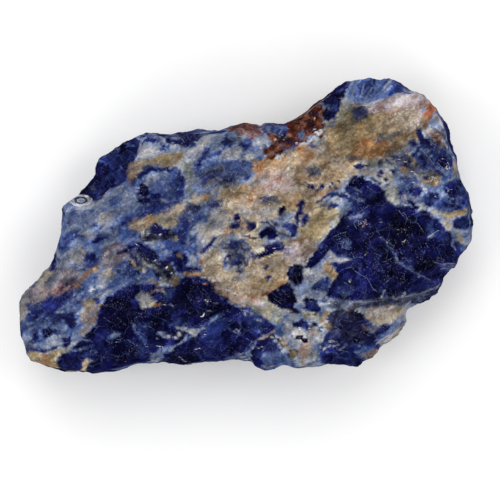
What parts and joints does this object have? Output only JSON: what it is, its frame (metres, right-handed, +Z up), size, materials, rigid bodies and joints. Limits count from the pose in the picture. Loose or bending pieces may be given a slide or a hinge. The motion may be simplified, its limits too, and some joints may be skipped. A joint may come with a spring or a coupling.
{
  "type": "rough sodalite",
  "caption": "Rough chunk of sodalite: a broken blue stone with cream, tan and rust patches, lying on its back.",
  "frame": {"origin": "middle of the bottom of the chunk's box, level with the flat spot it rests on", "axes": "+X along the chunk, towards its blunt right end; +Y towards the knob; +Z up, out of the best face"},
  "size_m": [0.11, 0.0712, 0.0366],
  "materials": {
    "sodalite": "wet-looking broken stone, navy and mid blue with cloudy grey, cream, tan and rust patches"
  },
  "bodies": {
    "root": {"sodalite_chunk": "sodalite"}
  },
  "joints": []
}
